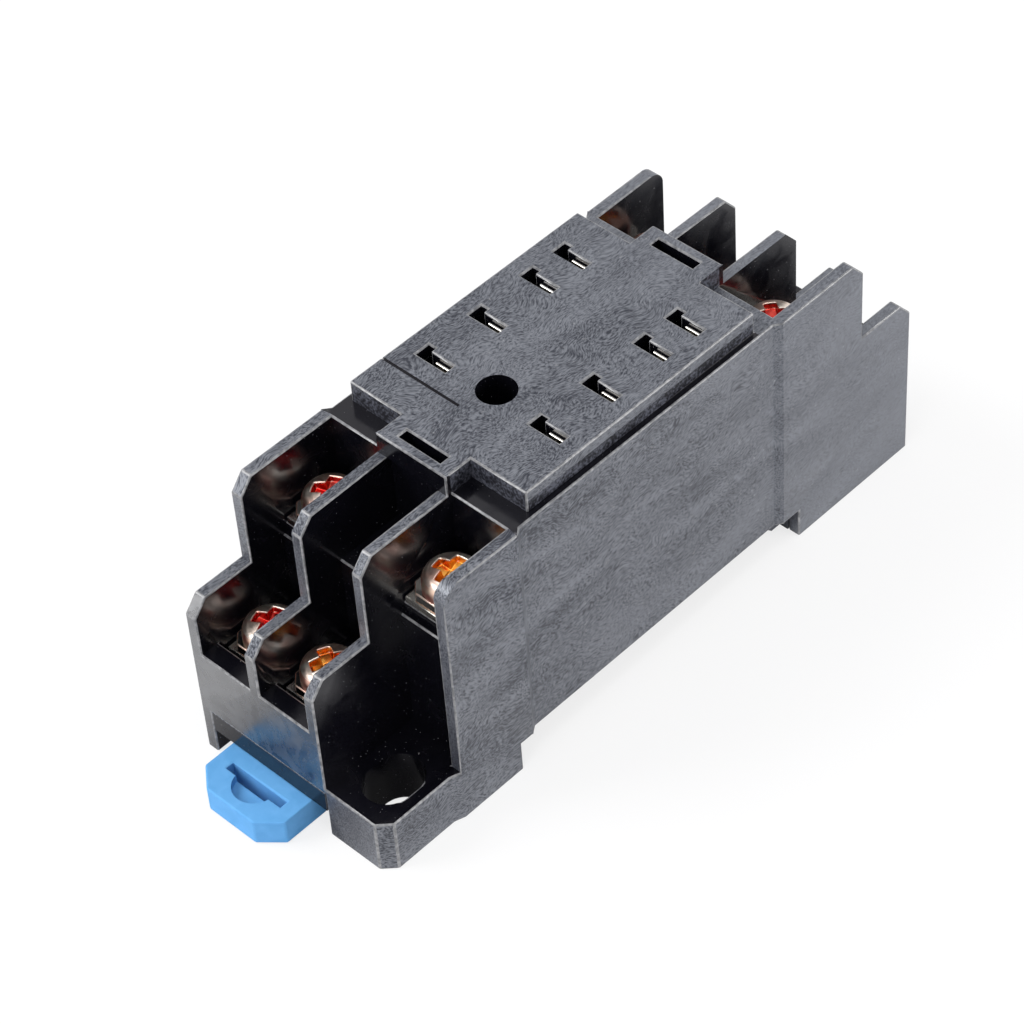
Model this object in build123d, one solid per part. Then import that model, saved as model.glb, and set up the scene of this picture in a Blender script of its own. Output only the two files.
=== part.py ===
from build123d import *
import os

# A screw-terminal socket for an eight-blade plug-in relay, held on a 35 mm rail by a sliding clip.
# X runs along the body, with the clip at -X, and Z is up. Heights here are above the surface
# that the feet stand on. The written solids have z = 0 at the seat of the rail, between the feet.
# The two ends are the same form turned half a turn about Z, so each end is drawn once, at -X.

# Outer form of the housing
body_length = 68.6
end_width = 23.0
waist_inset = 0.5
waist_length = 31.8
waist_slope = 0.75
wall_top = 28.1
platform_height = 2.2
platform_length = 28.4
platform_inset = 1.2
tongue_length = 34.4

# Steps and walls of one end
upper_front_setback = 6.8
right_wall_setback = 8.95
lower_wall_top = 18.7
edge_chamfer_run = 1.4
edge_chamfer_drop = 1.65
right_wall_radius = 1.6
outer_wall = 1.25
divider = 1.1
left_bay_share = 0.26522
middle_bay_share = 0.2587
bay_back_setback = 17.6
far_divider_short = 0.5
riser_setback = 10.7
upper_floor = 20.25
middle_floor = 20.85
lower_floor = 10.8
ledge_height = 19.1
ledge_depth = 0.5
sill_top = 12.6
sill_depth = 2.0

# Mounting well and its hole
well_floor = 5.9
well_inset = 0.36
well_step_start = 7.9
well_chamfer = 1.2
mount_hole_width = 4.6
mount_hole_length = 6.0
mount_hole_setback = 4.7

# Plug-in face: blade slots, key hole, hold-down slots, index line
near_upper_blade_x = -7.62
near_lower_blade_x = -1.15
far_lower_blade_x = 5.33
far_upper_blade_x = 9.43
blade_row_y = 6.63
slot_width = 1.05
slot_length = 3.53
slot_head_width = 1.6
slot_head_length = 0.8
key_hole_x = -6.9
key_hole_diameter = 3.7
key_hole_depth = 12.0
hold_slot_x = 15.7
hold_slot_width = 1.0
hold_slot_length = 4.9
hold_slot_depth = 5.0
index_line_x = -10.35
index_line_end = 1.1
index_line_width = 0.3
index_line_depth = 0.2
platform_roof = 1.6

# Contact chambers
chamber_width = 3.1
chamber_length = 4.8
fit_gap = 0.2

# Terminal strip and its fork contact
strip_thickness = 0.8
strip_width = 4.4
tab_side_gap = 0.15
tab_front_reach = 2.85
tab_back_reach = 2.5
fork_thickness = 0.3
fork_width = 3.2
fork_half_gap = 0.9
fork_heel = 1.0
fork_pinch = 0.3
fork_foot = 20.6
fork_waist = 26.4
lip_depth = 0.6
lip_root = 0.3
lip_width = 1.85
lip_end_gap = 0.12
upper_run_height = 14.6
upper_screw_setback = 14.0
lower_screw_setback = 5.6
upper_leg_setback = 17.0
lower_leg_setback = 9.9
bend_radius = 1.0

# Clamp plate and screw
clamp_thickness = 1.0
clamp_length = 5.4
clamp_side_gap = 0.3
clamp_corner = 1.0
clamp_groove_depth = 0.2
clamp_groove_width = 0.6
clamp_groove_inset = 0.8
screw_diameter = 3.0
screw_length = 6.0
head_side_gap = 0.65
head_height = 2.2
head_rim = 1.1
head_flat_diameter = 3.4
recess_width = 0.95
recess_span = 3.2
recess_depth = 1.2
thread_clearance = 0.05
clamp_hole_clearance = 0.1
screw_well_width = 3.8
screw_well_depth = 5.5

# Base plate, rail channel and fixed hook
base_top = 5.3
channel_roof = 3.3
clip_roof = 3.0
near_foot_face = 18.1
far_foot_face = 18.8
fixed_hook_reach = 2.2
fixed_hook_width = 13.0
hook_lip_top = 2.0
hook_lip_bottom = 0.6
hook_nose_drop = 0.6
foot_shell = 1.4
snap_length = 3.0
snap_height = 1.2
snap_reach = 0.35
snap_root = 0.5
snap_rise = 0.3
snap_x = 12.0

# Rail clip
clip_width_share = 0.4348
clip_centre_share = 0.1326
clip_top = 2.85
clip_bottom = 0.05
clip_tab_reach = 5.0
clip_corner_run = 1.8
clip_corner_width = 2.1
clip_nose_reach = 2.4
clip_flange_width = 0.9
clip_flange_height = 1.2
clip_travel = 2.5
slide_gap = 0.15
guide_front_setback = 1.6
tool_slot_width = 0.85
tool_slot_length = 6.8
tool_slot_setback = 1.4
thumb_radius = 2.1
thumb_setback = 1.95
thumb_depth = 0.9

# Return spring in the clip's window
window_nose_wall = 3.0
window_width = 4.2
window_setback = 4.6
stop_post_length = 1.5
spring_diameter = 2.3
spring_wire = 0.4
spring_turns = 5
spring_wire_sides = 5

half_length = body_length / 2
half_end = end_width / 2
half_waist = half_end - waist_inset
half_platform = half_end - platform_inset
platform_top = wall_top + platform_height
left_bay_width = left_bay_share * end_width
middle_bay_width = middle_bay_share * end_width
head_diameter = middle_bay_width - head_side_gap
clip_width = clip_width_share * end_width
clip_centre_y = clip_centre_share * end_width
left_inner = half_end - outer_wall
divider_1_left = left_inner - left_bay_width
divider_1_right = divider_1_left - divider
divider_2_left = divider_1_right - middle_bay_width
divider_2_right = divider_2_left - divider
right_inner = -half_end + outer_wall
well_side = -(half_end - well_inset)
left_bay_y = (left_inner + divider_1_left) / 2
middle_bay_y = (divider_1_right + divider_2_left) / 2
right_bay_y = (divider_2_right + right_inner) / 2
front = -half_length
bay_back = front + bay_back_setback
riser = front + riser_setback
clip_nose = -near_foot_face + clip_nose_reach
window_start = front + window_setback
window_end = clip_nose - window_nose_wall
blade_columns = (near_upper_blade_x, near_lower_blade_x, far_lower_blade_x, far_upper_blade_x)
beyond = 5.0
overcut = 1.0
turned = Rot(0, 0, 180)
to_seat = Pos(0, 0, -channel_roof)


def block(x0, x1, y0, y1, z0, z1):
    """A box between two corners."""
    size = (abs(x1 - x0), abs(y1 - y0), abs(z1 - z0))
    return Pos((x0 + x1) / 2, (y0 + y1) / 2, (z0 + z1) / 2) * Box(*size)


def raised(points, height):
    """A closed outline in X and Y, raised to a height."""
    return extrude(make_face(Polyline(*points, close=True)), amount=height, dir=(0, 0, 1))


def side_profile(points, y0, y1):
    """A closed outline in X and Z, carried across from y0 to y1."""
    face = make_face(Plane.XZ * Polyline(*points, close=True))
    return Pos(0, y0, 0) * extrude(face, amount=y1 - y0, dir=(0, 1, 0))


def sheet(points, thickness, y_centre, width, radius=0.0):
    """A bent metal strip that follows points in X and Z, centred on the line."""
    line = FilletPolyline(*points, radius=radius) if radius else Polyline(*points)
    face = Plane.XZ * trace(line, line_width=thickness)
    return Pos(0, y_centre - width / 2, 0) * extrude(face, amount=width, dir=(0, 1, 0))


def both_ends(shape):
    """The same form at both ends, half a turn apart."""
    return shape + turned * shape


def plan_outline():
    """Half of the housing seen from above, with its waist and the inset well block."""
    waist_end = -waist_length / 2
    step = front + well_step_start
    points = [
        (0, half_waist),
        (waist_end, half_waist),
        (waist_end - waist_slope, half_end),
        (front, half_end),
        (front, well_side + well_chamfer),
        (front + well_chamfer, well_side),
        (step, well_side),
        (front + right_wall_setback, -half_end),
        (waist_end - waist_slope, -half_end),
        (waist_end, -half_waist),
        (0, -half_waist),
    ]
    return raised(points, wall_top)


def stepped_wall(upper_front, y0, y1):
    """Two-step side of a wall, with a chamfered corner at the front of each step."""
    points = [
        (0, 0),
        (front, 0),
        (front, lower_wall_top - edge_chamfer_drop),
        (front + edge_chamfer_run, lower_wall_top),
        (upper_front, lower_wall_top),
        (upper_front, wall_top - edge_chamfer_drop),
        (upper_front + edge_chamfer_run, wall_top),
        (0, wall_top),
    ]
    return side_profile(points, y0, y1)


def left_elevation(divider_short):
    """The walls round the left and middle bays. The dividers may end short of the outer wall."""
    upper_front = front + upper_front_setback
    outer = stepped_wall(upper_front, left_inner, half_end)
    return outer + stepped_wall(upper_front + divider_short, divider_2_right, left_inner)


def right_elevation():
    """Side of the wall beside the mounting well, tall from its rounded front corner on."""
    wall_front = front + right_wall_setback
    line = (
        Polyline((0, wall_top), (0, 0), (front, 0), (front, well_floor), (wall_front, well_floor))
        + Line((wall_front, well_floor), (wall_front, wall_top - right_wall_radius))
        + RadiusArc(
            (wall_front, wall_top - right_wall_radius),
            (wall_front + right_wall_radius, wall_top),
            right_wall_radius,
        )
        + Line((wall_front + right_wall_radius, wall_top), (0, wall_top))
    )
    face = make_face(Plane.XZ * line)
    return Pos(0, -half_end, 0) * extrude(face, amount=half_end + divider_2_right, dir=(0, 1, 0))


def bay(y0, y1, floor, open_low, ledge):
    """The room of one compartment: upper floor, riser, then the lower floor or the well."""
    outside = front - beyond
    top = wall_top + beyond
    sill_back = front + sill_depth
    upper = [(bay_back, top), (bay_back, floor)]
    if ledge:
        upper += [(riser + ledge_depth, floor), (riser + ledge_depth, ledge_height), (riser, ledge_height)]
    else:
        upper += [(riser, floor)]
    if open_low:
        lower = [(riser, well_floor), (outside, well_floor), (outside, top)]
    else:
        lower = [
            (riser, lower_floor),
            (sill_back, lower_floor),
            (sill_back, sill_top),
            (outside, sill_top),
            (outside, top),
        ]
    return side_profile(upper + lower, y0, y1)


def mounting_hole():
    """Slotted hole for the panel screw, through the floor of the well."""
    slot = SlotOverall(mount_hole_length, mount_hole_width)
    place = Pos(front + mount_hole_setback, (well_side + divider_2_right) / 2, -overcut)
    return place * extrude(slot, amount=well_floor + 2 * overcut, dir=(0, 0, 1))


def blade_slot(x, y):
    """Slot for one relay blade: a band with a wider head at its +Y end."""
    edge = x - slot_width / 2
    head_y = y + slot_length / 2
    top = platform_top + overcut
    bottom = platform_top - platform_roof - overcut
    band = block(edge, edge + slot_width, y - slot_length / 2, head_y, bottom, top)
    return band + block(edge, edge + slot_head_width, head_y - slot_head_length, head_y, bottom, top)


def chamber(x, y):
    """Room for one fork contact, open to the base plate."""
    half = chamber_width / 2
    return block(x - half, x + half, y - chamber_length / 2, y + chamber_length / 2,
                 base_top - overcut, platform_top - platform_roof)


def leg_slot(x, y, floor):
    """Slot for a strip's leg through a bay's floor, relieved in front for the bend."""
    half = strip_width / 2 + fit_gap
    leg = strip_thickness / 2 + fit_gap
    top = floor + overcut
    slot = block(x - leg, x + leg, y - half, y + half, base_top, top)
    return slot + block(x - bend_radius, x + leg, y - half, y + half, floor - bend_radius, top)


def strip_rooms(upper_x, lower_x):
    """Channels under one end for its four strips, with the slots where their legs come up."""
    half = strip_width / 2 + fit_gap
    leg = strip_thickness / 2 + fit_gap
    upper_leg = front + upper_leg_setback
    lower_leg = front + lower_leg_setback
    upper_roof = upper_run_height + strip_thickness + fit_gap
    lower_roof = base_top + strip_thickness + fit_gap
    under = base_top - overcut
    rooms = Part()
    for y in (left_bay_y, right_bay_y):
        rooms += block(upper_leg - leg, upper_x, y - half, y + half, under, upper_roof)
        rooms += leg_slot(upper_leg, y, upper_floor)
    for y in (left_bay_y, middle_bay_y):
        rooms += block(lower_leg - leg, lower_x, y - half, y + half, under, lower_roof)
        rooms += leg_slot(lower_leg, y, lower_floor)
    rooms += block(lower_x - half, lower_x + half, -blade_row_y - half, middle_bay_y + half,
                   under, lower_roof)
    return rooms


def screw_wells():
    """Blind square wells below the threaded tabs, so the screws can go down."""
    half = screw_well_width / 2
    wells = Part()
    for setback, floor, bays in terminal_places():
        x = front + setback
        bottom = max(floor - screw_well_depth, base_top)
        for y, _ in bays:
            wells += block(x - half, x + half, y - half, y + half, bottom, floor + overcut)
    return wells


def terminal_places():
    """Screw setback, floor, and centre and width of each bay, for the two tiers of one end."""
    left = (left_bay_y, left_bay_width)
    middle = (middle_bay_y, middle_bay_width)
    right = (right_bay_y, divider_2_right - right_inner)
    return (
        (upper_screw_setback, upper_floor, (left, right)),
        (lower_screw_setback, lower_floor, (left, middle)),
    )


def base_outline(gap):
    """Plan of the base plate, which fits between the walls and beside the well blocks."""
    inner_end = half_end - outer_wall - gap
    inner_waist = half_waist - outer_wall - gap
    waist_end = -waist_length / 2
    block_back = riser - outer_wall
    well_wall = divider_2_right + gap
    open_front = front if gap else front - overcut
    half = [
        (0, inner_waist),
        (waist_end, inner_waist),
        (waist_end - waist_slope, inner_end),
        (open_front, inner_end),
        (open_front, well_wall),
        (block_back + gap, well_wall),
        (block_back + gap, -inner_end),
        (waist_end - waist_slope, -inner_end),
        (waist_end, -inner_waist),
        (0, -inner_waist),
    ]
    return both_ends(raised(half, base_top))


def snap_barbs(gap):
    """Wedge barbs on the long sides of the base plate, or with a gap the pockets that take them."""
    wall_y = half_waist - outer_wall
    bottom = channel_roof + snap_rise
    top = bottom + snap_height + gap
    outline = [(wall_y - snap_root, bottom), (wall_y + snap_reach + gap, bottom), (wall_y, top),
               (wall_y - snap_root, top)]
    wedge = make_face(Plane.YZ * Polyline(*outline, close=True))
    length = snap_length + 2 * gap
    barb = extrude(wedge, amount=length, dir=(1, 0, 0))
    barbs = Part()
    for x in (-snap_x, snap_x):
        barbs += both_ends(Pos(x - length / 2, 0, 0) * barb)
    return barbs


def end_form(divider_short):
    """One end of the housing from the middle out, with its three bays."""
    shape = plan_outline() & (left_elevation(divider_short) + right_elevation())
    shape -= bay(divider_1_left, left_inner, upper_floor, False, True)
    shape -= bay(divider_2_left, divider_1_right, middle_floor, False, False)
    shape -= bay(right_inner, divider_2_right, upper_floor, True, True)
    return shape


def make_housing():
    """The black moulding that carries everything else."""
    shape = end_form(0) + turned * end_form(far_divider_short)
    shape += block(-platform_length / 2, platform_length / 2, -half_platform, half_platform,
                   wall_top, platform_top)
    shape += both_ends(block(-tongue_length / 2, 0, divider_2_right, divider_1_left, wall_top,
                             platform_top))
    shape -= block(-near_foot_face, far_foot_face, -half_end, half_end, 0, channel_roof)
    shape -= base_outline(0)
    shape -= both_ends(mounting_hole())
    shape -= both_ends(screw_wells())
    shape -= strip_rooms(near_upper_blade_x, near_lower_blade_x)
    shape -= turned * strip_rooms(-far_upper_blade_x, -far_lower_blade_x)
    for x in blade_columns:
        for y in (blade_row_y, -blade_row_y):
            shape -= chamber(x, y)
            shape -= blade_slot(x, y)
    shape -= Pos(key_hole_x, 0, platform_top - key_hole_depth) * Cylinder(
        key_hole_diameter / 2, key_hole_depth + overcut, align=(Align.CENTER, Align.CENTER, Align.MIN)
    )
    for x in (-hold_slot_x, hold_slot_x):
        shape -= block(x - hold_slot_width / 2, x + hold_slot_width / 2, -hold_slot_length / 2,
                       hold_slot_length / 2, platform_top - hold_slot_depth, platform_top + overcut)
    shape -= block(index_line_x - index_line_width / 2, index_line_x + index_line_width / 2,
                   index_line_end, half_platform + overcut, platform_top - index_line_depth,
                   platform_top + overcut)
    shape -= snap_barbs(fit_gap)
    return shape


def clip_channel():
    """Room in the near foot for the clip, its flanges and its travel."""
    half = clip_width / 2
    flange = half + clip_flange_width + slide_gap
    shelf = clip_top - clip_flange_height - slide_gap
    y = clip_centre_y
    start = front - beyond
    end = -near_foot_face + overcut
    plain = block(start, end, y - half - slide_gap, y + half + slide_gap, -overcut, clip_roof)
    flanges = block(start, end, y - flange, y + flange, shelf, clip_roof)
    return plain + flanges


def make_base_plate():
    """Cover under the contacts, with the rail channel, the fixed hook and the clip's guide."""
    shape = base_outline(fit_gap / 2)
    shape -= block(-near_foot_face, far_foot_face, -half_end, half_end, -overcut, channel_roof)
    guide_front = front + guide_front_setback
    shape -= block(front - overcut, guide_front, divider_2_right, half_end, -overcut, clip_roof)
    shape -= clip_channel()
    shell_x = half_length - foot_shell
    well = divider_2_right + foot_shell
    shape -= block(far_foot_face + foot_shell, shell_x, -left_inner + foot_shell, -well, -overcut,
                   base_top - foot_shell)
    hook_y = -clip_centre_y
    half_hook = fixed_hook_width / 2
    nose = far_foot_face - fixed_hook_reach
    hook = [
        (far_foot_face, hook_lip_bottom),
        (nose + hook_nose_drop, hook_lip_bottom),
        (nose, hook_lip_bottom + hook_nose_drop),
        (nose, hook_lip_top),
        (far_foot_face, hook_lip_top),
    ]
    shape += side_profile(hook, hook_y - half_hook, hook_y + half_hook)
    post_x = window_start + slide_gap
    shape += block(post_x, post_x + stop_post_length, clip_centre_y - window_width / 2 + fit_gap,
                   clip_centre_y + window_width / 2 - fit_gap, clip_bottom + slide_gap, clip_roof)
    shape += snap_barbs(0)
    return shape


def make_rail_clip():
    """The sliding clip: pull tab, flanged plate with a window, and the nose under the rail."""
    half = clip_width / 2
    y = clip_centre_y
    tip = front - clip_tab_reach
    nose = clip_nose
    height = clip_top - clip_bottom
    outline = [
        (nose, y + half),
        (tip + clip_corner_run, y + half),
        (tip, y + half - clip_corner_width),
        (tip, y - half + clip_corner_width),
        (tip + clip_corner_run, y - half),
        (nose, y - half),
    ]
    shape = Pos(0, 0, clip_bottom) * raised(outline, height)
    flange = half + clip_flange_width
    flange_start = front + guide_front_setback + clip_travel
    shape += block(flange_start, -near_foot_face - slide_gap, y - flange, y + flange,
                   clip_top - clip_flange_height, clip_top)
    low, high = clip_bottom - overcut, clip_top + overcut
    right, left = y - half - overcut, y + half + overcut
    shape -= block(-near_foot_face - slide_gap, nose + overcut, right, left, hook_lip_top, high)
    ramp = [
        (nose - hook_nose_drop, low),
        (nose - hook_nose_drop, clip_bottom),
        (nose, clip_bottom + hook_nose_drop),
        (nose + overcut, clip_bottom + hook_nose_drop),
        (nose + overcut, low),
    ]
    shape -= side_profile(ramp, right, left)
    shape -= block(window_start, window_end, y - window_width / 2, y + window_width / 2, low, high)
    slot_x = front - tool_slot_setback
    shape -= block(slot_x - tool_slot_width, slot_x, y - tool_slot_length / 2, y + tool_slot_length / 2,
                   low, high)
    thumb = Pos(front - thumb_setback, y, clip_top - thumb_depth) * Cylinder(
        thumb_radius, thumb_depth + overcut, align=(Align.CENTER, Align.CENTER, Align.MIN)
    )
    half_plane = block(tip, slot_x - tool_slot_width, right, left, low, high)
    shape -= thumb & half_plane
    return shape


def make_clip_spring():
    """Compression spring between the fixed post and the inner end of the clip's window."""
    start = window_start + slide_gap + stop_post_length + slide_gap
    end = window_end - slide_gap
    radius = (spring_diameter - spring_wire) / 2
    length = end - start - spring_wire
    helix = Helix(pitch=length / spring_turns, height=length, radius=radius)
    section = Plane(origin=helix @ 0, z_dir=helix % 0) * RegularPolygon(spring_wire / 2, spring_wire_sides)
    coil = sweep(section, path=helix, is_frenet=True)
    height = (clip_bottom + clip_top) / 2
    return Pos(start + spring_wire / 2, clip_centre_y, height) * Rot(0, 90, 0) * coil


def fork(x, y, riser_foot, lip_side):
    """Sprung two-leaf contact on a riser, pinched at the top, with a lip of each leaf in the slot."""
    near = x - fork_half_gap
    far = x + fork_half_gap
    pinch = fork_pinch / 2 + fork_thickness / 2
    heel = fork_foot - fork_heel
    first = [(near, riser_foot), (near, fork_foot), (x - pinch, fork_waist)]
    second = [(near, heel), (far, heel), (far, fork_foot), (x + pinch, fork_waist)]
    shape = sheet(first, fork_thickness, y, fork_width) + sheet(second, fork_thickness, y, fork_width)
    lip_y = y + lip_side * (slot_length / 2 - lip_end_gap - lip_width / 2)
    for leaf_x in (x - pinch, x + pinch):
        lip = [(leaf_x, fork_waist - lip_root), (leaf_x, platform_top - lip_depth)]
        shape += sheet(lip, fork_thickness, lip_y, lip_width)
    return shape


def make_terminal(screw_x, leg_x, y, floor, run_bottom, tab_width, contact_x, contact_y, lip_side):
    """One strip: threaded tab on its bay's floor, leg, run and fork. A wide jog has a cross strip."""
    tab_z = floor + strip_thickness / 2
    run_z = run_bottom + strip_thickness / 2
    half = strip_width / 2
    jog = abs(contact_y - y) > strip_width
    run_end = contact_x + half if jog else contact_x - fork_half_gap
    tab_start = screw_x - tab_front_reach
    points = [(tab_start, tab_z), (leg_x, tab_z), (leg_x, run_z), (run_end, run_z)]
    shape = sheet(points, strip_thickness, y, strip_width, bend_radius)
    shape += block(tab_start, screw_x + tab_back_reach, y - tab_width / 2, y + tab_width / 2,
                   floor, floor + strip_thickness)
    if jog:
        shape += block(contact_x - half, contact_x + half, contact_y - half, y + half,
                       run_bottom, run_bottom + strip_thickness)
    shape += fork(contact_x, contact_y, run_z, lip_side)
    radius = screw_diameter / 2 + thread_clearance
    return shape - Pos(screw_x, y, floor) * Cylinder(radius, 4 * strip_thickness)


def make_clamp(x, y, floor, width):
    """Wire clamp with cut corners and two gripping grooves, held under the screw head."""
    bottom = floor + strip_thickness
    plate = block(x - clamp_length / 2, x + clamp_length / 2, y - width / 2, y + width / 2,
                  bottom, bottom + clamp_thickness)
    plate = chamfer(plate.edges().filter_by(Axis.Z), clamp_corner)
    for side in (-1, 1):
        centre = y + side * (width / 2 - clamp_groove_inset)
        plate -= block(x - clamp_length, x + clamp_length, centre - clamp_groove_width / 2,
                       centre + clamp_groove_width / 2, bottom, bottom + clamp_groove_depth)
    hole = Cylinder(screw_diameter / 2 + clamp_hole_clearance, 4 * clamp_thickness)
    return plate - Pos(x, y, bottom) * hole


def make_screw(x, y, floor):
    """Pan-head screw with a cross recess. Its thread is a plain shank here."""
    seat = floor + strip_thickness + clamp_thickness
    radius = head_diameter / 2
    shank = screw_diameter / 2
    tip = seat - screw_length
    outline = [
        (0, tip),
        (shank, tip),
        (shank, seat),
        (radius, seat),
        (radius, seat + head_rim),
        (head_flat_diameter / 2, seat + head_height),
        (0, seat + head_height),
    ]
    body = revolve(make_face(Plane.XZ * Polyline(*outline, close=True)), Axis.Z)
    bottom = seat + head_height - recess_depth
    top = seat + head_height + overcut
    across = block(-recess_span / 2, recess_span / 2, -recess_width / 2, recess_width / 2, bottom, top)
    recess = across + Rot(0, 0, 90) * across
    return Pos(x, y, 0) * (body - Rot(0, 0, 45) * recess)


def terminals():
    """Strip, clamp plate and screw of the eight terminals: near end 1 to 4, far end 5 to 8."""
    near_end = (Pos(0, 0, 0), -1, near_upper_blade_x, near_lower_blade_x)
    far_end = (turned, 1, -far_upper_blade_x, -far_lower_blade_x)
    pieces = []
    for place, lip_side, *contact_xs in (near_end, far_end):
        tiers = zip(terminal_places(), (upper_leg_setback, lower_leg_setback),
                    (upper_run_height, base_top), contact_xs)
        for (setback, floor, bays), leg_setback, run_bottom, contact_x in tiers:
            screw_x = front + setback
            leg_x = front + leg_setback
            for (y, bay_width), contact_y in zip(bays, (blade_row_y, -blade_row_y)):
                strip = make_terminal(screw_x, leg_x, y, floor, run_bottom,
                                      bay_width - 2 * tab_side_gap, contact_x, contact_y, lip_side)
                clamp = make_clamp(screw_x, y, floor, bay_width - 2 * clamp_side_gap)
                pieces.append((place * strip, place * clamp, place * make_screw(screw_x, y, floor)))
    return pieces


def write(shape, node):
    """Writes one piece with z = 0 at the seat of the rail."""
    export_step(to_seat * shape, f"parts/{node}.step")


os.makedirs("parts", exist_ok=True)
write(make_housing(), "housing")
write(make_base_plate(), "base_plate")
write(make_rail_clip(), "rail_clip")
write(make_clip_spring(), "clip_spring")
for number, (strip, clamp, screw) in enumerate(terminals(), 1):
    write(strip, f"terminal_{number}")
    write(clamp, f"clamp_plate_{number}")
    write(screw, f"terminal_screw_{number}")
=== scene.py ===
import math
import bmesh
import bpy
import numpy as np
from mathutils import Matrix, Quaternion, Vector


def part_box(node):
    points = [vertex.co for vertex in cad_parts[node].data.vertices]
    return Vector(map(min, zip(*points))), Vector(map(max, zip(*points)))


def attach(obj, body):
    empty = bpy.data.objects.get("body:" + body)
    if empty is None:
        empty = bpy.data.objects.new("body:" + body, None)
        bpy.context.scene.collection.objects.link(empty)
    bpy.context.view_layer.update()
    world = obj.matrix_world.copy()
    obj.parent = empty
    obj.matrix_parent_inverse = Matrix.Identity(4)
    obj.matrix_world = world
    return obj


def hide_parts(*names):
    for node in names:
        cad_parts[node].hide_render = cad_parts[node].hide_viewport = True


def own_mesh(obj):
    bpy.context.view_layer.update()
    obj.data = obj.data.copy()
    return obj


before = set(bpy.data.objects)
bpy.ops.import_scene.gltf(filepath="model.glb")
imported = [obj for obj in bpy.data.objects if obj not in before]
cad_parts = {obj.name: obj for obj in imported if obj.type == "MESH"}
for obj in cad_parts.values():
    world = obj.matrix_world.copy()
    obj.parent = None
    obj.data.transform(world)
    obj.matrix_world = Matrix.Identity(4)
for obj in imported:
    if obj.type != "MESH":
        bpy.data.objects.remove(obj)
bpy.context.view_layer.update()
mm = 0.001


# Housing: one black moulding of glass-filled plastic, with three stepped bays at each end and the
# plug-in platform between them. Outside it has the fine swirls of the filled plastic under a
# satin sheen; inside the bays the mould was polished, and the near-black colour there is painted shade.
weld = 0.002 * mm
flat_angle = math.radians(0.6)
sharp_angle = math.radians(28)
narrow_face = 0.25 * mm


def rounded_copy(node, name, body, rounding, segments=3, splits=(), edge_slot=-1):
    """The node's own skin with its loose triangles joined into flat faces, and every outer edge
    rounded off, but not beside a very narrow face. An edge is an outer one where the two faces fall
    away from each other. The splits are pairs of an axis number and a place on it, where the flat
    faces are cut to give their parts different finishes. The rounded edges can take their own
    material slot."""
    skin = bmesh.new()
    skin.from_mesh(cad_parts[node].data)
    bmesh.ops.remove_doubles(skin, verts=skin.verts, dist=weld)
    bmesh.ops.dissolve_limit(skin, angle_limit=flat_angle, verts=skin.verts, edges=skin.edges)
    for axis, place in splits:
        everything = skin.verts[:] + skin.edges[:] + skin.faces[:]
        across = np.eye(3)[axis]
        bmesh.ops.bisect_plane(skin, geom=everything, dist=weld, plane_co=across * place, plane_no=across)
    weight = skin.edges.layers.float.new("bevel_weight_edge")
    for edge in skin.edges:
        angle = edge.calc_face_angle_signed(0.0)
        widths = [2 * face.calc_area() / face.calc_perimeter() for face in edge.link_faces]
        narrowest = min(widths, default=0.0)
        edge[weight] = 1.0 if angle > sharp_angle and narrowest > narrow_face else 0.0
        edge.smooth = abs(angle) < sharp_angle
    for face in skin.faces:
        face.smooth = True
    mesh = bpy.data.meshes.new(name)
    skin.to_mesh(mesh)
    skin.free()
    piece = bpy.data.objects.new(name, mesh)
    bpy.context.scene.collection.objects.link(piece)
    bevel = piece.modifiers.new("rounded edges", "BEVEL")
    bevel.limit_method = "WEIGHT"
    bevel.width = rounding
    bevel.segments = segments
    bevel.use_clamp_overlap = False
    bevel.harden_normals = True
    bevel.material = edge_slot
    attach(piece, body)
    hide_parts(node)
    return piece


def shader(name, colour, roughness, metallic=0.0, specular=0.5, ior=1.5, sheen_tint=(1.0, 1.0, 1.0)):
    """A new material with its plain values set on the shader's own sockets."""
    material = bpy.data.materials.new(name)
    material.use_nodes = True
    surface = material.node_tree.nodes["Principled BSDF"]
    surface.inputs["Base Color"].default_value = (*colour, 1.0)
    surface.inputs["Roughness"].default_value = roughness
    surface.inputs["Metallic"].default_value = metallic
    surface.inputs["Specular IOR Level"].default_value = specular
    surface.inputs["IOR"].default_value = ior
    surface.inputs["Specular Tint"].default_value = (*sheen_tint, 1.0)
    return material


def add_node(material, kind, **inputs):
    """One more node, with its unlinked inputs given by name."""
    node = material.node_tree.nodes.new(kind)
    for key, value in inputs.items():
        node.inputs[key.replace("_", " ")].default_value = value
    return node


def arithmetic(material, operation, *values):
    """One sum in a material, on values that are numbers or other nodes' outputs."""
    node = add_node(material, "ShaderNodeMath")
    node.operation = operation
    for place, value in enumerate(values):
        if isinstance(value, float):
            node.inputs[place].default_value = value
        else:
            material.node_tree.links.new(value, node.inputs[place])
    return node.outputs["Value"]


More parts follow.
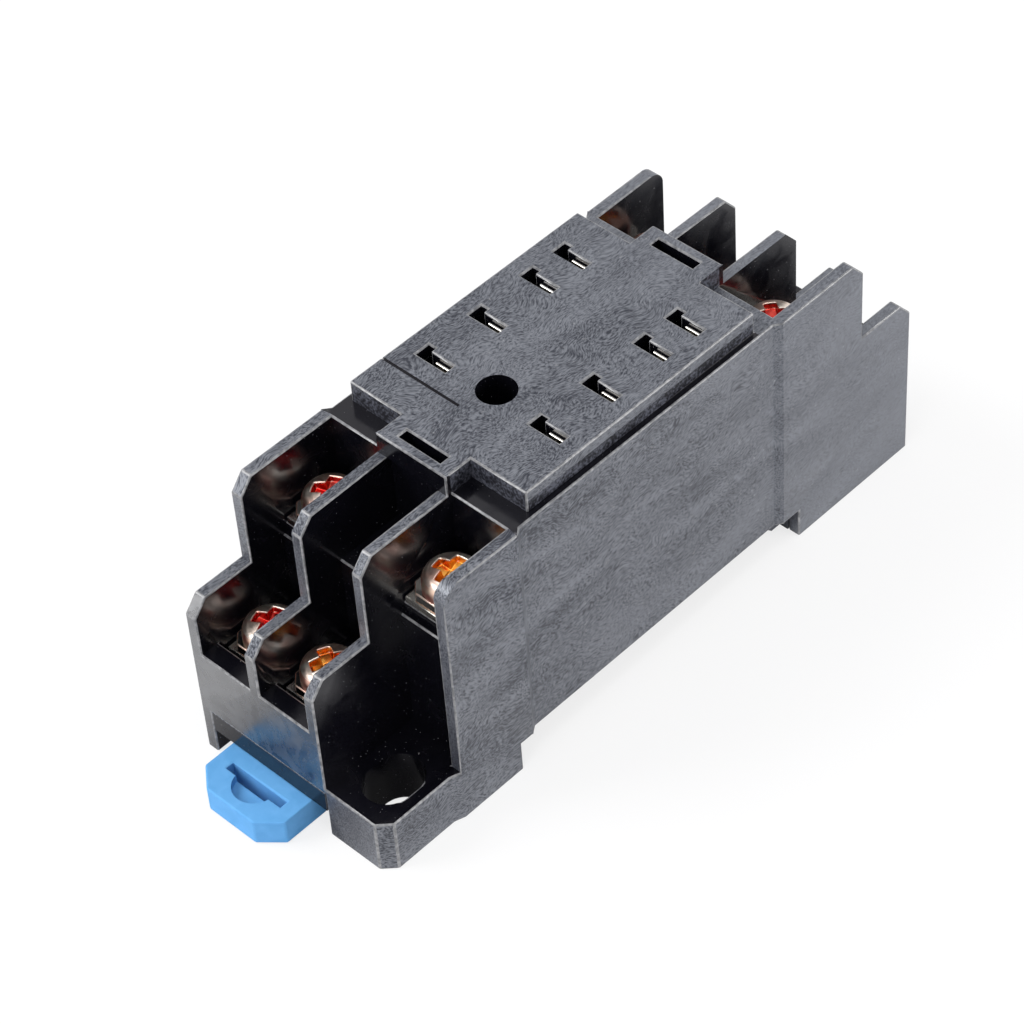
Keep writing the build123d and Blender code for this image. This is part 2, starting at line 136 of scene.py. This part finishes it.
def flowing(material, scale, stretch, bend_scale, bend, detail=2.0):
    """Noise drawn out into strokes. The place is first shifted by a slow noise, so that the strokes
    turn this way and that as the melt did."""
    links = material.node_tree.links
    place = add_node(material, "ShaderNodeTexCoord")
    slow = add_node(material, "ShaderNodeTexNoise", Scale=bend_scale, Detail=1.0)
    centred = add_node(material, "ShaderNodeVectorMath")
    centred.operation = "SUBTRACT"
    centred.inputs[1].default_value = (0.5, 0.5, 0.5)
    shift = add_node(material, "ShaderNodeVectorMath")
    shift.operation = "SCALE"
    shift.inputs["Scale"].default_value = bend
    moved = add_node(material, "ShaderNodeVectorMath")
    moved.operation = "ADD"
    mapping = add_node(material, "ShaderNodeMapping", Scale=stretch)
    noise = add_node(material, "ShaderNodeTexNoise", Scale=scale, Detail=detail)
    links.new(place.outputs["Object"], slow.inputs["Vector"])
    links.new(slow.outputs["Color"], centred.inputs[0])
    links.new(centred.outputs["Vector"], shift.inputs["Vector"])
    links.new(place.outputs["Object"], moved.inputs[0])
    links.new(shift.outputs["Vector"], moved.inputs[1])
    links.new(moved.outputs["Vector"], mapping.inputs["Vector"])
    links.new(mapping.outputs["Vector"], noise.inputs["Vector"])
    return noise.outputs["Fac"]


def both(material, first, second, share):
    """A value between two values, with a share of the second."""
    blend = add_node(material, "ShaderNodeMix")
    blend.inputs["Factor"].default_value = share
    material.node_tree.links.new(first, blend.inputs["A"])
    material.node_tree.links.new(second, blend.inputs["B"])
    return blend.outputs["Result"]


def grain(material, scale, detail=3.0, distortion=0.0, stretch=(1.0, 1.0, 1.0), turn=(0.0, 0.0, 0.0)):
    """Noise in the piece's own coordinates, stretched and turned to follow how it was made."""
    links = material.node_tree.links
    place = add_node(material, "ShaderNodeTexCoord")
    mapping = add_node(material, "ShaderNodeMapping", Scale=stretch, Rotation=turn)
    noise = add_node(material, "ShaderNodeTexNoise", Scale=scale, Detail=detail, Distortion=distortion)
    links.new(place.outputs["Object"], mapping.inputs["Vector"])
    links.new(mapping.outputs["Vector"], noise.inputs["Vector"])
    return noise.outputs["Fac"]


def spread(material, source, low, high, start=0.35, end=0.65):
    """Turns a noise value into one that runs from low to high."""
    span = add_node(material, "ShaderNodeMapRange")
    for key, value in (("From Min", start), ("From Max", end), ("To Min", low), ("To Max", high)):
        span.inputs[key].default_value = value
    material.node_tree.links.new(source, span.inputs["Value"])
    return span.outputs["Result"]


def tint(material, source, dark, light):
    """Colour that runs with a value from dark to light."""
    ramp = add_node(material, "ShaderNodeValToRGB")
    ramp.color_ramp.elements[0].color = (*dark, 1.0)
    ramp.color_ramp.elements[1].color = (*light, 1.0)
    ramp.color_ramp.elements[0].position = 0.3
    ramp.color_ramp.elements[1].position = 0.7
    material.node_tree.links.new(source, ramp.inputs["Fac"])
    return ramp.outputs["Color"]


def raise_bumps(material, source, strength, height, below=None):
    """Bump from a value, laid over another bump where one is given."""
    bump = add_node(material, "ShaderNodeBump", Strength=strength, Distance=height)
    material.node_tree.links.new(source, bump.inputs["Height"])
    if below is not None:
        material.node_tree.links.new(below, bump.inputs["Normal"])
    return bump.outputs["Normal"]


def wire(material, **sockets):
    """Joins worked-out values to the shader's sockets, named with underscores for spaces."""
    surface = material.node_tree.nodes["Principled BSDF"]
    for key, source in sockets.items():
        material.node_tree.links.new(source, surface.inputs[key.replace("_", " ")])


# Outside: short swirls of the filler over slow streaks of the melt, a few pale scuffs, and a painted
# light toward the far end, which makes the plastic lighter and lower in contrast there.
satin_black = shader("satin black plastic", (0.035, 0.036, 0.042), 0.45, specular=1.0, ior=1.7,
                     sheen_tint=(0.89, 0.93, 1.0))
worms = flowing(satin_black, 7000.0, (0.32, 1.0, 1.0), 210.0, 0.004)
streaks = flowing(satin_black, 300.0, (0.16, 1.0, 1.0), 45.0, 0.016, detail=4.0)
marbled = both(satin_black, worms, streaks, 0.3)
scuffs = spread(satin_black, grain(satin_black, 2600.0, detail=3.0), 0.0, 0.5, start=0.66, end=0.78)
black_links = satin_black.node_tree.links
whereabouts = add_node(satin_black, "ShaderNodeTexCoord")
along_body = add_node(satin_black, "ShaderNodeSeparateXYZ")
black_links.new(whereabouts.outputs["Object"], along_body.inputs["Vector"])
# Painted light: from the middle to the far end the darkest tone is lifted and the contrast lowered.
far_end_painted_washout = spread(satin_black, along_body.outputs["X"], 0.06, 0.13, start=-20.0 * mm, end=36.0 * mm)
far_end_painted_light = spread(satin_black, along_body.outputs["X"], 0.3, 0.46, start=5.0 * mm, end=34.0 * mm)
contrasted = add_node(satin_black, "ShaderNodeMapRange", To_Max=0.72)
for socket, source in (("Value", marbled), ("To Min", far_end_painted_light),
                       ("From Min", arithmetic(satin_black, "SUBTRACT", 0.44, far_end_painted_washout)),
                       ("From Max", arithmetic(satin_black, "ADD", 0.56, far_end_painted_washout))):
    black_links.new(source, contrasted.inputs[socket])
contrast = contrasted.outputs["Result"]
moulded = tint(satin_black, contrast, (0.005, 0.006, 0.014), (0.09, 0.095, 0.113))
scuffed = add_node(satin_black, "ShaderNodeMixRGB", Color2=(0.3, 0.3, 0.31, 1.0))
black_links.new(scuffs, scuffed.inputs["Fac"])
black_links.new(moulded, scuffed.inputs["Color1"])
wire(satin_black,
     Base_Color=scuffed.outputs["Color"],
     Specular_IOR_Level=spread(satin_black, contrast, 0.32, 1.0),
     Roughness=spread(satin_black, worms, 0.3, 0.5),
     Normal=raise_bumps(satin_black, worms, 1.0, 0.014 * mm))

# The end faces came off a polished plate of the mould, so they mirror the table and the clip.
end_black = shader("glossy black plastic of the ends", (0.01, 0.011, 0.018), 0.22, specular=1.0, ior=2.0)
clouds = flowing(end_black, 1600.0, (1.0, 0.4, 0.4), 90.0, 0.01, detail=5.0)
wire(end_black,
     Base_Color=tint(end_black, clouds, (0.002, 0.003, 0.01), (0.03, 0.031, 0.04)),
     Specular_IOR_Level=spread(end_black, clouds, 0.85, 1.0),
     Roughness=spread(end_black, clouds, 0.2, 0.34),
     Normal=raise_bumps(end_black, clouds, 0.9, 0.014 * mm))

# The sunk steps round the platform are duller and darker, with faint smears.
step_black = shader("dull black plastic of the steps", (0.01, 0.01, 0.02), 0.5, specular=0.3)
smears = both(step_black, grain(step_black, 4200.0, detail=3.0), grain(step_black, 420.0, detail=2.0), 0.35)
wire(step_black,
     Base_Color=tint(step_black, spread(step_black, smears, 0.0, 1.0, start=0.3, end=0.75),
                     (0.001, 0.001, 0.004), (0.09, 0.095, 0.12)))

# The rounded edges take a lighter colour, a painted highlight along them, varied by a grain.
edge_black = shader("black edges with painted highlight", (0.12, 0.12, 0.13), 0.36, specular=1.0)
edge_highlight_grain = grain(edge_black, 2400.0, detail=2.0)
wire(edge_black, Base_Color=tint(edge_black, edge_highlight_grain, (0.07, 0.072, 0.08), (0.25, 0.25, 0.26)))

# Inside the bays the plastic is polished, and its colour is the plastic's black darkened further as
# painted shade of the deep bays, with slow ripples and a few specks of dust.
polished_black_painted_shade = shader("polished black plastic with painted shade", (0.003, 0.003, 0.005), 0.2, specular=0.4,
                        sheen_tint=(0.95, 0.93, 1.0))
ripples = grain(polished_black_painted_shade, 420.0, detail=3.0, distortion=0.8)
specks = grain(polished_black_painted_shade, 5200.0, detail=1.0)
dust = spread(polished_black_painted_shade, specks, 0.0, 0.8, start=0.74, end=0.8)
wire(polished_black_painted_shade,
     Base_Color=tint(polished_black_painted_shade, dust, (0.003, 0.003, 0.005), (0.22, 0.22, 0.23)),
     Roughness=spread(polished_black_painted_shade, ripples, 0.12, 0.28),
     Normal=raise_bumps(polished_black_painted_shade, ripples, 0.12, 0.01 * mm))

# Places on the housing where one finish gives way to another, and where flat faces are cut.
bay_back = 16.7 * mm
wall_top = 24.8 * mm
low_wall_top = 15.4 * mm
upper_wall_front = 27.3 * mm
platform_side = 10.2 * mm
well_floor = 2.6 * mm
platform_front = 14.2 * mm
tongue_side = 3.9 * mm
well_corner = 4.0 * mm
lit_band_bottom = 25.9 * mm
lower_lip = 9.3 * mm
cover_top = 2.0 * mm
upper_floor = 16.95 * mm
upper_floor_front = 23.1 * mm
wall_thickness = 1.8 * mm
margin = 0.4 * mm
close = 0.05 * mm
moulded_radius = 0.16 * mm
housing = rounded_copy("housing", "housing_shell", "socket", moulded_radius,
                       splits=((0, -bay_back), (0, platform_front), (0, bay_back),
                               (1, -well_corner), (1, well_corner),
                               (2, lit_band_bottom), (2, lower_lip)),
                       edge_slot=4)
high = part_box("housing")[1]

# The rims under the tabs, over the cover and of the mounting holes stay square, since the ledges
# between them are narrower than the rounding.
spots = np.empty(len(housing.data.vertices) * 3)
housing.data.vertices.foreach_get("co", spots)
pairs = np.empty(len(housing.data.edges) * 2, int)
housing.data.edges.foreach_get("vertices", pairs)
middles = np.abs(spots.reshape(-1, 3)[pairs.reshape(-1, 2)].mean(axis=1))
edge_x, edge_y, edge_z = middles.T
inside_end = edge_x < high.x - margin
in_well = (edge_x > bay_back) & (edge_y < high.y - wall_thickness) & (edge_z < well_floor + 2 * close)
square = inside_end & in_well
square |= (np.abs(edge_z - upper_floor) < close) & (edge_x < upper_floor_front - margin)
square |= (np.abs(edge_z - cover_top) < close) & inside_end
weights = housing.data.attributes["bevel_weight_edge"].data
rounded = np.empty(len(weights))
weights.foreach_get("value", rounded)
weights.foreach_set("value", np.where(square, 0.0, rounded))

# Which finish each face has, from where it lies and which way it looks. The faces that are not outer
# faces take the polished plastic, whose near-black colour is painted shade.
centres = np.array([face.center for face in housing.data.polygons])
normals = np.array([face.normal for face in housing.data.polygons])
x, y, z = np.abs(centres[:, 0]), np.abs(centres[:, 1]), centres[:, 2]
face_x, face_y, face_z = np.abs(normals[:, 0]), np.abs(normals[:, 1]), normals[:, 2]
outer_skin = 0.6 * mm
end_depth = 1.0 * mm
wall_front = 1.3 * mm
plug_in_face = (z > high.z - close) & (face_z > 0.5)
wall_tops = ((x > bay_back) & (face_z > 0.95)
             & ((np.abs(z - wall_top) < close) | (np.abs(z - low_wall_top) < close)))
# The platform's sides take the satin plastic only in the lit band at their top; below it they take the
# near-black polished plastic as painted shade.
platform_sides = (y > platform_side) & (z > lit_band_bottom) & (face_y > 0.5)
chamfers = (face_z > 0.3) & (face_z < 0.95)
outer_sides = (y > high.y - outer_skin) & (face_y > 0.3)
outer_ends = (x > high.x - end_depth) & (face_x > 0.3) & (y > high.y - end_depth)
outer_ends |= (x > high.x - close) & (face_x > 0.3)
step_fronts = (face_x > 0.5) & (np.abs(x - upper_wall_front) < outer_skin) & (z > low_wall_top)
tall_fronts = (face_x > 0.3) & (y > high.y - wall_front)
frosted = (plug_in_face | wall_tops | platform_sides | chamfers | outer_ends | step_fronts | tall_fronts
           | (face_z < -0.5))
steps = (x < bay_back) & (z > wall_top - close) & ((x > platform_front - close) | (y > platform_side))
steps &= ~frosted & (face_z > -0.5) & (y > tongue_side)
far_ledge = (centres[:, 0] > platform_front) & (face_z > 0.95) & (np.abs(z - wall_top) < close)
finish = np.where(frosted | outer_sides, 0, 1)
finish[steps] = 2
finish[far_ledge] = 0
beside_well = -centres[:, 1] * np.sign(centres[:, 0]) > -well_corner
finish[outer_ends & (normals[:, 0] * centres[:, 0] > 0) & beside_well] = 3
for plastic in (satin_black, polished_black_painted_shade, step_black, end_black, edge_black):
    housing.data.materials.append(plastic)
housing.data.polygons.foreach_set("material_index", finish.astype(np.int32))


# Base plate: the black cover pressed in from below, which closes the contact chambers and carries
# the rail channel, the fixed hook and the guide of the clip. It is the housing's own plastic.
cover_radius = 0.05 * mm
cover_end = 2.0 * mm
base_plate = rounded_copy("base_plate", "base_cover", "socket", cover_radius, segments=2)
base_plate.data.materials.append(satin_black)
base_plate.data.materials.append(polished_black_painted_shade)
plate_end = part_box("base_plate")[1].x
# The end faces take the polished plastic, whose near-black colour is painted shade.
facing = np.array([abs(face.normal.x) > 0.5 and abs(face.center.x) > plate_end - cover_end
                   for face in base_plate.data.polygons])
base_plate.data.polygons.foreach_set("material_index", facing.astype(np.int32))


# Rail clip: a light blue moulded slider with a finger tab, a thumb rest and a slot for the
# screwdriver that pulls it off the rail. Its plastic is matt, with softer rounded edges.
clip_blue = shader("light blue plastic", (0.12, 0.37, 0.72), 0.42, specular=0.05)
mottle = grain(clip_blue, 700.0, detail=4.0, distortion=0.6)
speckle = grain(clip_blue, 6000.0, detail=1.0)
wire(clip_blue,
     Base_Color=tint(clip_blue, mottle, (0.11, 0.33, 0.64), (0.135, 0.37, 0.70)),
     Roughness=spread(clip_blue, mottle, 0.38, 0.5),
     Normal=raise_bumps(clip_blue, speckle, 0.2, 0.004 * mm))
clip_radius = 0.2 * mm
clip = rounded_copy("rail_clip", "blue_clip", "clip", clip_radius)
clip.data.materials.append(clip_blue)


# Return spring: round wire wound into a close coil with flattened ends, between the base plate's
# post and the clip's window. The real one shortens as the clip is pulled out; this coil has one length.
def sweep_mesh(name, x, y, z):
    """A closed skin over a grid of points whose columns run round and whose rows run along. The
    first and last rows are closed with a fan to their middle."""
    rows, columns = x.shape
    grid = np.stack([x, y, z], axis=-1).reshape(-1, 3)
    points = np.vstack([grid, grid[:columns].mean(axis=0), grid[-columns:].mean(axis=0)])
    row, column = np.meshgrid(np.arange(rows - 1), np.arange(columns), indexing="ij")
    here = (row * columns + column).ravel()
    beside = (row * columns + (column + 1) % columns).ravel()
    quads = np.stack([here, beside, beside + columns, here + columns], axis=-1)
    around = np.arange(columns)
    after = (around + 1) % columns
    last = (rows - 1) * columns
    first_fan = np.stack([after, around, np.full(columns, rows * columns)], axis=-1)
    last_fan = np.stack([last + around, last + after, np.full(columns, rows * columns + 1)], axis=-1)
    mesh = bpy.data.meshes.new(name)
    mesh.from_pydata(points.tolist(), [], quads.tolist() + first_fan.tolist() + last_fan.tolist())
    mesh.polygons.foreach_set("use_smooth", np.ones(len(mesh.polygons), bool))
    skin = bmesh.new()
    skin.from_mesh(mesh)
    bmesh.ops.recalc_face_normals(skin, faces=skin.faces)
    skin.to_mesh(mesh)
    skin.free()
    piece = bpy.data.objects.new(name, mesh)
    bpy.context.scene.collection.objects.link(piece)
    return piece


spring_steel = shader("bright spring wire", (0.62, 0.62, 0.63), 0.28, metallic=1.0)
drawn = grain(spring_steel, 3000.0, detail=2.0)
wire(spring_steel, Roughness=spread(spring_steel, drawn, 0.2, 0.38))

spring_low, spring_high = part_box("clip_spring")
wire_radius = 0.2 * mm
coil_radius = (spring_high.y - spring_low.y) / 2 - wire_radius
coil_turns = 7.0
end_turns = 1.0
wire_sides = 12
rows_each_turn = 40
turned = np.linspace(0.0, coil_turns, int(coil_turns * rows_each_turn))[:, None]
round_wire = np.linspace(0.0, 2 * np.pi, wire_sides, endpoint=False)[None, :]
closed = end_turns * 2 * wire_radius
open_length = spring_high.x - spring_low.x - 2 * wire_radius - 2 * closed
rise = (np.clip(turned, 0, end_turns) * 2 * wire_radius
        + np.clip((turned - end_turns) / (coil_turns - 2 * end_turns), 0, 1) * open_length
        + np.clip(turned - coil_turns + end_turns, 0, end_turns) * 2 * wire_radius)
reach = coil_radius + wire_radius * np.cos(round_wire)
spring = sweep_mesh(
    "coil_spring",
    spring_low.x + wire_radius + rise + wire_radius * np.sin(round_wire),
    (spring_low.y + spring_high.y) / 2 + reach * np.cos(2 * np.pi * turned),
    (spring_low.z + spring_high.z) / 2 + reach * np.sin(2 * np.pi * turned),
)
spring.data.materials.append(spring_steel)
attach(spring, "socket")
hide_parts("clip_spring")
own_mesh(spring)


# Terminal strips: stamped and bent tin-plated brass, eight of them. The threaded tab lies on the
# floor of a bay, and the sprung fork shows in its blade slot.
tinned = shader("tin-plated brass", (0.80, 0.78, 0.72), 0.25, metallic=1.0)
rolled = grain(tinned, 900.0, detail=3.0, stretch=(0.15, 1.0, 1.0))
patches = grain(tinned, 260.0, detail=2.0)
wire(tinned,
     Base_Color=tint(tinned, patches, (0.74, 0.70, 0.62), (0.86, 0.85, 0.82)),
     Roughness=spread(tinned, rolled, 0.16, 0.3))
strip_radius = 0.12 * mm
for number in range(1, 9):
    strip = rounded_copy(f"terminal_{number}", f"strip_{number}", "socket", strip_radius, segments=2)
    strip.data.materials.append(tinned)


# Clamp plates: small stamped squares with cut corners and a groove each side, held captive under
# the screw heads and zinc-plated like them.
zinc_yellow = shader("yellow zinc", (0.93, 0.78, 0.58), 0.18, metallic=1.0)
passivation = grain(zinc_yellow, 420.0, detail=2.0, distortion=0.8)
tooling = grain(zinc_yellow, 2600.0, detail=1.0)
wire(zinc_yellow,
     Base_Color=tint(zinc_yellow, passivation, (0.84, 0.48, 0.38), (0.98, 0.92, 0.82)),
     Roughness=spread(zinc_yellow, tooling, 0.3, 0.38))
# The flat of the plate is bare and bright, and the yellow shows on its rounded edges.
zinc_grey = shader("plain zinc", (0.55, 0.52, 0.48), 0.08, metallic=1.0)
stamping = grain(zinc_grey, 1500.0, detail=2.0)
wire(zinc_grey, Roughness=spread(zinc_grey, stamping, 0.05, 0.13))
clamp_radius = 0.13 * mm
for number in range(1, 9):
    clamp = rounded_copy(f"clamp_plate_{number}", f"wire_clamp_{number}", f"clamp_{number}",
                         clamp_radius, segments=2, edge_slot=1)
    clamp.data.materials.append(zinc_grey)
    clamp.data.materials.append(zinc_yellow)


# Terminal screws: cold-headed pan-head screws with a cross recess and a rolled thread, yellow-zinc
# plated, one through each clamp plate into the tab below it.
head_radius = 2.63 * mm
head_top_radius = 1.9 * mm
head_height = 2.2 * mm
rim_height = 0.75 * mm
dome_height = 0.35 * mm
shank_radius = 1.5 * mm
thread_depth = 0.27 * mm
thread_pitch = 0.5 * mm
tip_taper = 0.7 * mm
recess_half_width = 0.56 * mm
recess_reach = 1.72 * mm
recess_depth = 1.15 * mm
recess_shade_depth = 0.12 * mm
edge_softness = 0.1 * mm
columns_round = 160
crown_rows = 64
thread_rows = 150


def smooth_step(value):
    """0 below 0, 1 above 1 and an even S between."""
    value = np.clip(value, 0.0, 1.0)
    return value * value * (3.0 - 2.0 * value)


def recess_floor(x, y):
    """How far the cross recess lies below the dome. Each arm is a band that slopes up to its end,
    with soft edges, and the deeper of the two arms counts."""
    def arm(across, length):
        band = smooth_step((recess_half_width + edge_softness - np.abs(across)) / (2 * edge_softness))
        end = smooth_step((recess_reach - np.abs(length)) / (3 * edge_softness))
        slope = 0.45 + 0.55 * (1.0 - np.abs(length) / recess_reach)
        return band * end * np.clip(slope, 0.0, 1.0)
    return recess_depth * np.maximum(arm(x, y), arm(y, x))


def screw_mesh(name, centre, top, tip, turn):
    """A turned profile: the domed top with its recess, the rounded rim, the flat underside, the
    shank with a helical thread that fades at both ends, and the tip."""
    seat = top - head_height
    angle = np.linspace(0.0, 2 * np.pi, columns_round, endpoint=False)[None, :]

    crown = np.linspace(0.02, 1.0, crown_rows)[:, None] * head_top_radius
    crown_x, crown_y = crown * np.cos(angle), crown * np.sin(angle)
    crown_z = (top - dome_height * (crown / head_top_radius) ** 2
               - recess_floor(crown_x, crown_y))

    corner = np.linspace(0.0, np.pi / 2, 10)[1:, None]
    shoulder_r = head_top_radius + (head_radius - head_top_radius) * np.sin(corner)
    shoulder_z = seat + rim_height + (head_height - dome_height - rim_height) * np.cos(corner)

    side_z = seat + np.linspace(rim_height, 0.0, 5)[1:, None]
    under_r = np.linspace(head_radius, shank_radius - thread_depth, 6)[1:, None]

    thread_z = np.linspace(seat, tip, thread_rows)[1:, None]
    wave = np.abs((thread_z / thread_pitch - angle / (2 * np.pi)) % 1.0 * 2.0 - 1.0)
    fade = smooth_step((seat - thread_z) / thread_pitch) * smooth_step((thread_z - tip) / thread_pitch)
    pointed = smooth_step((tip + tip_taper - thread_z) / tip_taper)
    core = shank_radius - thread_depth - 0.5 * tip_taper * pointed
    thread_r = core + thread_depth * wave * fade

    full = np.ones_like(angle)
    radii = np.vstack([crown * full, shoulder_r * full, head_radius * np.ones_like(side_z) * full,
                       under_r * full, thread_r])
    heights = np.vstack([crown_z, shoulder_z * full, side_z * full, seat * np.ones_like(under_r) * full,
                         thread_z * full])
    spun = angle + turn
    return sweep_mesh(name, centre[0] + radii * np.cos(spun), centre[1] + radii * np.sin(spun), heights)


# The recess is painted red in half of the screws and amber in the others, a painted
# interreflection of the plating deep in the cross.
recess_interreflections = []
for name, dark, light in (("red zinc, painted interreflection in the recess", (0.38, 0.012, 0.016), (0.78, 0.11, 0.08)),
                          ("amber zinc, painted interreflection in the recess", (0.60, 0.12, 0.02), (0.92, 0.50, 0.10))):
    recess = shader(name, dark, 0.25, metallic=1.0)
    depth_tint = grain(recess, 1100.0, detail=1.0)
    wire(recess,
         Base_Color=tint(recess, depth_tint, dark, light),
         Roughness=spread(recess, depth_tint, 0.2, 0.36))
    recess_interreflections.append(recess)

# Down the flank of the head it turns rosy, and it is patchy.
flank_zinc = shader("rosy zinc of the head's flank", (0.80, 0.38, 0.30), 0.36, metallic=1.0)
blush = grain(flank_zinc, 900.0, detail=1.0)
wire(flank_zinc, Base_Color=tint(flank_zinc, blush, (0.62, 0.16, 0.14), (0.95, 0.74, 0.58)))

head_turns = (0.5, 0.15, 0.35, 1.1, 0.9, 0.6, 0.2, 1.3)
for number, turn in enumerate(head_turns, 1):
    screw_tip, screw_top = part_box(f"terminal_screw_{number}")
    centre = ((screw_tip.x + screw_top.x) / 2, (screw_tip.y + screw_top.y) / 2)
    screw = screw_mesh(f"screw_{number}", centre, screw_top.z, screw_tip.z, turn)
    for plating in (zinc_yellow, recess_interreflections[(number + 1) % 2], flank_zinc):
        screw.data.materials.append(plating)
    face_at = np.array([face.center for face in screw.data.polygons])
    from_axis = np.hypot(face_at[:, 0] - centre[0], face_at[:, 1] - centre[1])
    dome = screw_top.z - dome_height * (from_axis / head_top_radius) ** 2
    # Faces sunk in the recess take the painted interreflection.
    sunken = ((face_at[:, 2] < dome - recess_shade_depth) & (from_axis < recess_reach)
              & (face_at[:, 2] > screw_top.z - head_height))
    flank = (from_axis > shank_radius) & (face_at[:, 2] < screw_top.z - rim_height)
    screw.data.polygons.foreach_set("material_index", np.where(flank, 2, sunken).astype(np.int32))
    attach(screw, f"screw_{number}")
    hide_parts(f"terminal_screw_{number}")


# The table that the socket stands on: a plain white sheet that stays white to the camera and in
# reflections, and keeps a share of the socket's soft shadow.
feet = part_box("base_plate")[0].z
sheet_mesh = bpy.data.meshes.new("white_sheet")
half_sheet = 2.0
sheet_corners = np.array([(-1, -1), (1, -1), (1, 1), (-1, 1)]) * half_sheet
sheet_mesh.from_pydata([(across, deep, feet) for across, deep in sheet_corners], [], [(0, 1, 2, 3)])
sheet = bpy.data.objects.new("white_sheet", sheet_mesh)
bpy.context.scene.collection.objects.link(sheet)
white = shader("white table", (0.87, 0.87, 0.88), 0.8, specular=0.1)
seen = add_node(white, "ShaderNodeLightPath")
under = add_node(white, "ShaderNodeTexCoord")
table_links = white.node_tree.links


def bare_sheet(centre_x, centre_y, half_width, half_depth, border=1.02):
    """Near 0 below a rectangle of the table, 1 outside it, with a soft border. The larger of the
    distances from its middle, each divided by the half size, says how far out a place is."""
    apart = []
    for axis, middle, half in (("X", centre_x, half_width), ("Y", centre_y, half_depth)):
        from_middle = arithmetic(white, "SUBTRACT", spot.outputs[axis], middle)
        apart.append(arithmetic(white, "DIVIDE", arithmetic(white, "ABSOLUTE", from_middle), half))
    return spread(white, arithmetic(white, "MAXIMUM", *apart), 0.05, 1.0, start=0.9, end=border)


spot = add_node(white, "ShaderNodeSeparateXYZ")
table_links.new(under.outputs["Object"], spot.inputs["Vector"])
camera_ray, glossy_ray = seen.outputs["Is Camera Ray"], seen.outputs["Is Glossy Ray"]

# The white glows to the camera except under the clip, where its shadow is painted, and in the
# plastic's reflections except under the body and beside the clip, painted shadow there too.
# In reflections it is a little dimmer below the middle of the body, a painted shade of its shadow.
shadow_painted_below_clip = bare_sheet(-36.4 * mm, 3.05 * mm, 1.7 * mm, 3.7 * mm)
shadow_painted_below_body = bare_sheet(0.0, 0.0, 34.0 * mm, 11.0 * mm)
shadow_painted_beside_clip = bare_sheet(-38.5 * mm, 3.05 * mm, 4.0 * mm, 5.5 * mm, border=2.4)
# Painted shade: in reflections the table glows a little less near the middle of the body, where its shadow
# falls, and fully away from it.
from_middle = arithmetic(white, "SUBTRACT", spot.outputs["X"], 3.0 * mm)
squared = arithmetic(white, "MULTIPLY", from_middle, from_middle)
body_shade_painted_mid_table = arithmetic(white, "MULTIPLY_ADD", squared, 520.0, 0.88)
mirrored = arithmetic(white, "MULTIPLY", arithmetic(white, "MINIMUM", body_shade_painted_mid_table, 1.0), shadow_painted_beside_clip)
seen_direct = arithmetic(white, "MULTIPLY", camera_ray, shadow_painted_below_clip)
below = arithmetic(white, "MULTIPLY", glossy_ray, shadow_painted_below_body)
seen_mirrored = arithmetic(white, "MULTIPLY", below, mirrored)
glow = add_node(white, "ShaderNodeEmission", Color=(1.0, 1.0, 1.0, 1.0))
table_links.new(arithmetic(white, "ADD", seen_direct, seen_mirrored), glow.inputs["Strength"])
blend = add_node(white, "ShaderNodeMixShader")
open_share = arithmetic(white, "MULTIPLY", arithmetic(white, "MAXIMUM", camera_ray, glossy_ray), 0.76)
table_links.new(open_share, blend.inputs["Fac"])
plain = white.node_tree.nodes["Principled BSDF"]
table_links.new(plain.outputs["BSDF"], blend.inputs[1])
table_links.new(glow.outputs["Emission"], blend.inputs[2])
table_links.new(blend.outputs["Shader"], white.node_tree.nodes["Material Output"].inputs["Surface"])
sheet_mesh.materials.append(white)


# Studio light: an even white surround, one large soft box behind on the left, and smaller ones
# overhead, low on the clip's side and low beyond the far right corner.
world = bpy.data.worlds.new("white surround")
world.use_nodes = True
surround = world.node_tree.nodes["Background"]
surround.inputs["Color"].default_value = (1.0, 1.0, 1.0, 1.0)
ray = add_node(world, "ShaderNodeLightPath")
shown = arithmetic(world, "MAXIMUM", ray.outputs["Is Camera Ray"], ray.outputs["Is Glossy Ray"])
brightness = spread(world, shown, 0.55, 1.0, start=0.0, end=1.0)
world.node_tree.links.new(brightness, surround.inputs["Strength"])
bpy.context.scene.world = world


def soft_box(name, place, aim, width, height, power):
    """A rectangular area lamp that faces a point."""
    lamp = bpy.data.lights.new(name, "AREA")
    lamp.shape = "RECTANGLE"
    lamp.size, lamp.size_y, lamp.energy = width, height, power
    stand = bpy.data.objects.new(name, lamp)
    stand.location = place
    stand.rotation_mode = "QUATERNION"
    stand.rotation_quaternion = (Vector(aim) - Vector(place)).to_track_quat("-Z", "Y")
    bpy.context.scene.collection.objects.link(stand)


soft_box("key box", (-0.34, 0.36, 0.42), (0, 0, 0.01), 0.4, 0.4, 3.2)
soft_box("top box", (-0.06, -0.06, 0.46), (0, 0, 0.01), 0.14, 0.14, 0.45)
soft_box("low box", (-0.45, -0.12, 0.16), (0, 0, 0.01), 0.25, 0.25, 0.5)
soft_box("far box", (0.2, -0.3, 0.12), (0.03, 0, 0.01), 0.2, 0.2, 0.8)


# Camera: where the photographer stood, found from the socket's own corners, with a slight tilt.
camera_place = Vector((-152.75, -156.53, 229.93)) * mm
camera_aim = Vector((-6.41, -0.13, 12.0)) * mm
camera_tilt = math.radians(-4.66)
camera_data = bpy.data.cameras.new("camera")
camera_data.sensor_width = 36.0
camera_data.lens = 123.19
camera_data.clip_start, camera_data.clip_end = 0.01, 10.0
camera = bpy.data.objects.new("camera", camera_data)
camera.location = camera_place
camera.rotation_mode = "QUATERNION"
level = (camera_aim - camera_place).to_track_quat("-Z", "Y")
camera.rotation_quaternion = level @ Quaternion((0, 0, 1), camera_tilt)
bpy.context.scene.collection.objects.link(camera)
bpy.context.scene.camera = camera
bpy.context.scene.view_settings.view_transform = "Standard"
